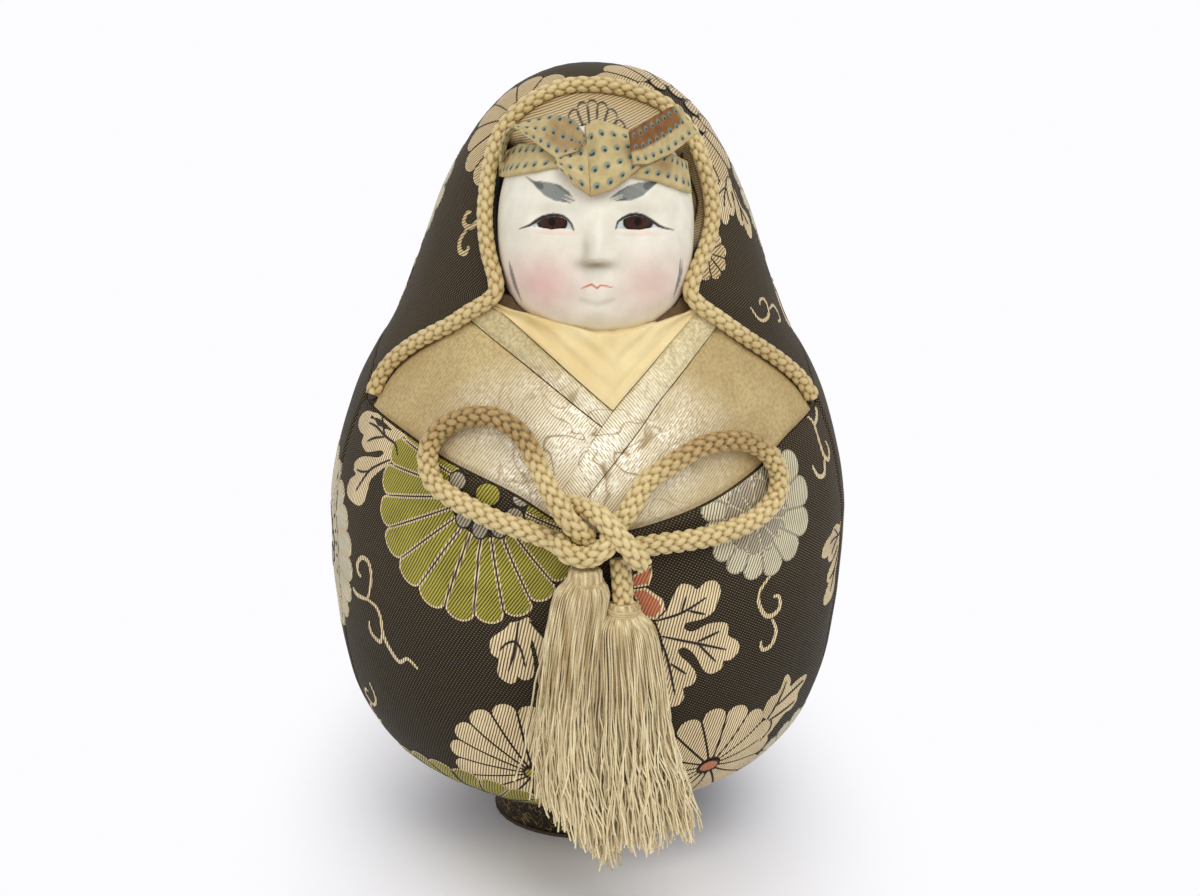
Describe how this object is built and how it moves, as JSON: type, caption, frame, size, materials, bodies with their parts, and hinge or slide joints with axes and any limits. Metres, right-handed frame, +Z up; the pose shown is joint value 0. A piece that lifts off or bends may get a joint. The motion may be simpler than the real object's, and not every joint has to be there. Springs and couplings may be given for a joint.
{
  "type": "egg-shaped doll",
  "caption": "Egg-shaped display doll in a hooded brocade robe, with an inset painted head, knotted headband, braided cord trim and a tied cord with swinging tassels.",
  "frame": {"origin": "centre of the underside of the foot, where the doll stands", "axes": "+Z up through the crown of the hood, -Y the way the face looks, +X to the viewer's right as they face the doll"},
  "size_m": [0.1544, 0.1563, 0.2303],
  "materials": {
    "core": "matt",
    "brocade": "silky twill with woven motifs",
    "gold_cloth": "metallic thread",
    "cream_crepe": "matt crepe",
    "painted_head": "polished chalk white",
    "eye": "glossy",
    "dotted_cloth": "matt cotton",
    "braided_cord": "silky braid",
    "tassel_yarn": "twisted yarn",
    "tassel_binding": "wound thread",
    "foot_pad": "felted"
  },
  "bodies": {
    "doll": {"body_core": "core", "foot_block": "core", "neck_peg": "core", "hood_panel": "brocade", "back_panel": "brocade", "front_panel": "brocade", "hood_lining": "brocade", "foot_cover": "brocade", "chest_left_panel": "gold_cloth", "chest_right_panel": "gold_cloth", "collar_left_band": "gold_cloth", "collar_right_band": "gold_cloth", "inner_collar": "cream_crepe", "head": "painted_head", "left_eye": "eye", "right_eye": "eye", "headband_band": "dotted_cloth", "headband_knot": "dotted_cloth", "headband_left_tail": "dotted_cloth", "headband_right_tail": "dotted_cloth", "hood_cord": "braided_cord", "bow_left_loop": "braided_cord", "bow_right_loop": "braided_cord", "knot_turn": "braided_cord", "knot_wrap": "braided_cord", "foot_pad": "foot_pad"},
    "left_tail": {"left_tail_cord": "braided_cord"},
    "left_tassel": {"left_tassel_skirt": "tassel_yarn", "left_tassel_binding": "tassel_binding"},
    "right_tail": {"right_tail_cord": "braided_cord"},
    "right_tassel": {"right_tassel_skirt": "tassel_yarn", "right_tassel_binding": "tassel_binding"}
  },
  "joints": [
    {"name": "left_tassel_sway", "type": "hinge", "parent": "doll", "child": "left_tail", "pos_m": [-0.0026, -0.074, 0.109], "axis": [0, 1, 0], "range_deg": [0, 20]},
    {"name": "left_tassel_lift", "type": "hinge", "parent": "left_tail", "child": "left_tassel", "pos_m": [-0.0026, -0.0765, 0.1005], "axis": [-1, 0, 0], "range_deg": [0, 60]},
    {"name": "right_tassel_sway", "type": "hinge", "parent": "doll", "child": "right_tail", "pos_m": [0.0065, -0.074, 0.106], "axis": [0, -1, 0], "range_deg": [0, 20]},
    {"name": "right_tassel_lift", "type": "hinge", "parent": "right_tail", "child": "right_tassel", "pos_m": [0.0075, -0.0765, 0.0915], "axis": [-1, 0, 0], "range_deg": [0, 60]}
  ]
}
